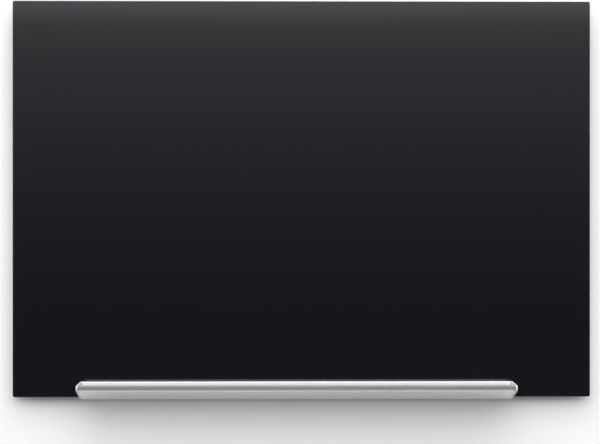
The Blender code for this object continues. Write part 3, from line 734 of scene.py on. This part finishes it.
def rounded(corners):
    """A closed outline from (out, up, radius) corners, each drawn as its own arc."""
    outline = []
    for index, (out, up, radius) in enumerate(corners):
        corner = Vector((out, up))
        before = Vector(corners[index - 1][:2]) - corner
        after = Vector(corners[(index + 1) % len(corners)][:2]) - corner
        if not radius:
            outline.append((out, up))
            continue
        half = before.angle(after) / 2
        reach = min(radius / math.tan(half), before.length / 2, after.length / 2)
        before.normalize()
        after.normalize()
        centre = corner + (before + after).normalized() * reach / math.cos(half)
        spoke = corner + before * reach - centre
        turn = -spoke.angle_signed(corner + after * reach - centre)
        start = math.atan2(spoke.y, spoke.x)
        outline += arc(centre, spoke.length, start, start + turn, FILLET_STEPS)
    return outline


def nose(inset):
    """The front of the tray, from its leaning face to its underside, moved inwards by inset."""
    centre = (nose_middle, NOSE_HEIGHT)
    return arc(centre, NOSE_RADIUS - inset, LIP_LEAN, underside_angle - math.pi / 2, NOSE_STEPS)


def front_face(up, inset):
    """The point at height up on the face above the nose, moved inwards by inset."""
    out, start = nose(inset)[0]
    return (out - (up - start) * math.tan(LIP_LEAN), up)


def trough_circle():
    """The centre and radius of the trough's arc, and the step from one of its rims to the other."""
    start = Vector((HOOK_PLAY + TRAY_LAND, TRAY_TOP))
    rim_to_rim = Vector((front_face(LIP_TOP, 0)[0] - LIP_WIDTH, LIP_TOP)) - start
    radius = ((rim_to_rim.length / 2) ** 2 + TROUGH_SAG ** 2) / (2 * TROUGH_SAG)
    upright = Vector((-rim_to_rim.y, rim_to_rim.x)).normalized()
    return start + rim_to_rim / 2 + upright * (radius - TROUGH_SAG), radius, rim_to_rim


def trough():
    """The trough's arc, from the land at the glass to the lip."""
    centre, radius, rim_to_rim = trough_circle()
    down = math.atan2(rim_to_rim.y, rim_to_rim.x) - math.pi / 2
    swing = math.asin(rim_to_rim.length / 2 / radius)
    return arc(centre, radius, down - swing, down + swing, TROUGH_STEPS)


def roof(out, inset):
    """Height of the land, trough or lip, moved inwards by inset."""
    centre, radius, _ = trough_circle()
    flat = (TRAY_TOP if out < centre.x else LIP_TOP) - inset
    return min(flat, centre.y - math.sqrt((radius + inset) ** 2 - (out - centre.x) ** 2))


def underside(out, inset):
    """Height of the slanted underside, moved inwards by inset."""
    slant = tray_bottom + (out - TRAY_HEEL) * math.tan(underside_angle)
    return max(tray_bottom + inset, slant + inset / math.cos(underside_angle))


def chamber(near, far, inset, to_nose=False):
    """The outline of a hollow between the tray's walls, or of what fills it."""
    reach = [far + (near - far) * step / TROUGH_STEPS for step in range(TROUGH_STEPS + 1)]
    front = reversed(nose(inset)) if to_nose else [(far, underside(far, inset))]
    return [(near, underside(near, inset)), *front, *[(out, roof(out, inset)) for out in reach]]


def tray_outline():
    """The whole section, as (out from the glass, up from its bottom edge) points."""
    hollow = trough()
    return rounded([
        (HOOK_PLAY, TRAY_TOP, TRAY_FILLET),
        (*hollow[0], TRAY_FILLET),
        *[(*point, 0) for point in hollow[1:-1]],
        (*hollow[-1], LIP_ROUND),
        (*front_face(LIP_TOP, 0), LIP_ROUND),
        *[(*point, 0) for point in nose(0)],
        (TRAY_HEEL, tray_bottom, TRAY_FILLET),
        (leg_back, tray_bottom, TRAY_FILLET * 2),
        (leg_back, HOOK_HEIGHT - TRAY_WALL, TRAY_FILLET),
        (leg_back - HOOK_FLANGE, HOOK_HEIGHT - TRAY_WALL, TRAY_FILLET),
        (leg_back - HOOK_FLANGE, HOOK_HEIGHT, TRAY_FILLET),
        (leg_front, HOOK_HEIGHT, TRAY_FILLET),
        (leg_front, -HOOK_PLAY, 0),
        (HOOK_PLAY, -HOOK_PLAY, 0),
    ])


def section_at(x, outline):
    """Carries (out, up) points of the tray's section to their place at x."""
    return [(x, glass_low.y - out, glass_low.z + up) for out, up in outline]


def hollow_bar(outlines, start, end):
    """A closed bmesh along X, over an outline and the outlines of the hollows in it."""
    bm = bmesh.new()
    rims = ([], [])
    for outline in outlines:
        rings = [[bm.verts.new(point) for point in section_at(x, outline)] for x in (start, end)]
        first, last = rings
        for index in range(len(outline)):
            bm.faces.new((first[index - 1], first[index], last[index], last[index - 1]))
        for rim, ring in zip(rims, rings):
            rim += [bm.edges.get((ring[index - 1], ring[index])) for index in range(len(ring))]
    for rim in rims:
        bmesh.ops.triangle_fill(bm, edges=rim, use_beauty=True, normal=(1, 0, 0))
    return bm


def anodised_finish():
    """Satin anodised metal: a fine etched grain, and faint lines along its length from the die."""
    material, tree, place = surface("satin_anodised", roughness=0.34, metallic=1.0)
    lines = noise(tree, place, SATIN_LINES, stretch=SATIN_STRETCH)
    etched = noise(tree, place, ETCHED_GRAIN)
    cloudy = noise(tree, place, CLOUDS, detail=3)
    tone = lines * SATIN_LINES_IN_TONE + cloudy * CLOUDS_IN_TONE
    raised = lines * SATIN_LINES_RAISED + etched * ETCHED_RAISED
    feed(
        material,
        Base_Color=mixed(tree, tone, shaded(ANODISED, ANODISED_DARK), shaded(ANODISED, ANODISED_LIGHT)),
        Roughness=SATIN_SMOOTHEST + lines * SATIN_LINES_DULL + etched * ETCHED_DULL,
        Normal=bump(tree, raised, strength=0.12, distance=0.00003),
    )
    return material


web_middle = TRAY_DEPTH * TRAY_WEB_SHARE
rear_chamber = (HOOK_PLAY + TRAY_WALL, web_middle - TRAY_WALL / 2)
front_chamber = web_middle + TRAY_WALL / 2
tray_bar = hollow_bar([
    tray_outline(),
    chamber(*rear_chamber, TRAY_WALL),
    chamber(front_chamber, front_face(LIP_TOP, TRAY_WALL)[0], TRAY_WALL, to_nose=True),
], tray_low.x, tray_high.x)
tray_mesh = mesh_from(tray_bar, FINE_SMOOTH_TO)
fit_out("pen_tray", tray_mesh, anodised_finish(), "tray", "tray_aluminium", "tray_extrusion")

# Liner: a soft black strip pressed into the tray's hook, so that the metal doesn't touch the glass
# where the tray slides. Its solid has its shape, so it takes a finish only.
LINER_BLACK = (0.045, 0.045, 0.047)
liner = moulded(
    "hook_liner", LINER_BLACK, roughness=0.78, grain_scale=3200, depth=0.00006, lighter=1.2
)
refinish(liner, "tray_liner")

# End caps: light grey plastic plates with rounded rims that close the tray's ends. Each is held by
# two pegs in the hollows of the extrusion.
CAP_ROUND = 0.0007
CAP_GLASS_PLAY = 0.0006
CAP_LIP_RISE = 0.0012
CAP_CORNER = 0.003
CAP_SEAT = 0.0003
CAP_STEPS = 8
PEG_LENGTH = 0.011
PEG_WALL = 0.0012
PEG_PLAY = 0.0003
PEG_REACH_SHARE = 0.5
CAP_SHARP = 40
CAP_GREY = (0.66, 0.69, 0.67)


def cap_outline(inset):
    """The cap's outline, moved inwards by inset."""
    return rounded([
        (CAP_GLASS_PLAY + inset, TRAY_TOP - inset, TRAY_FILLET),
        (HOOK_PLAY + TRAY_LAND, TRAY_TOP - inset, 0),
        (*front_face(LIP_TOP + CAP_LIP_RISE - inset, inset), CAP_CORNER - inset),
        *[(*point, 0) for point in nose(inset)],
        (TRAY_HEEL, tray_bottom + inset, TRAY_FILLET),
        (CAP_GLASS_PLAY + inset, tray_bottom + inset, TRAY_FILLET),
    ])


def peg_outlines():
    """The outlines of the rear peg, which has a hollow of its own, and of the front one."""
    inset = TRAY_WALL + PEG_PLAY
    near, far = rear_chamber[0] + PEG_PLAY, rear_chamber[1] - PEG_PLAY
    hollow = chamber(near + PEG_WALL, far - PEG_WALL, inset + PEG_WALL)
    front_end = front_chamber + (nose_middle - front_chamber) * PEG_REACH_SHARE
    return [chamber(near, far, inset), hollow], [chamber(front_chamber + PEG_PLAY, front_end, inset)]


cap_plastic = moulded(
    "cap_plastic", CAP_GREY, roughness=0.42, grain_scale=2200, depth=0.00006, lighter=1.05
)
for side_name, side in (("left", -1), ("right", 1)):
    cap_low, cap_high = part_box(f"end_cap_{side_name}")
    outer = cap_low.x if side < 0 else cap_high.x
    inner = (tray_low.x if side < 0 else tray_high.x) + side * CAP_SEAT
    rim = arc((CAP_ROUND, CAP_ROUND), CAP_ROUND, math.pi, 3 * math.pi / 2, CAP_STEPS)
    rings = [section_at(inner, cap_outline(0))]
    rings += [section_at(outer - side * back, cap_outline(inset)) for inset, back in rim]
    pegs = [
        mesh_from(hollow_bar(outlines, inner - side * PEG_LENGTH, (inner + outer) / 2))
        for outlines in peg_outlines()
    ]
    cap_mesh = worked_with("UNION", mesh_from(skin(rings), CAP_SHARP), *pegs)
    cap_mesh.set_sharp_from_angle(angle=math.radians(CAP_SHARP))
    fit_out(f"cap_{side_name}", cap_mesh, cap_plastic, "tray", "cap_plastic", f"end_cap_{side_name}")
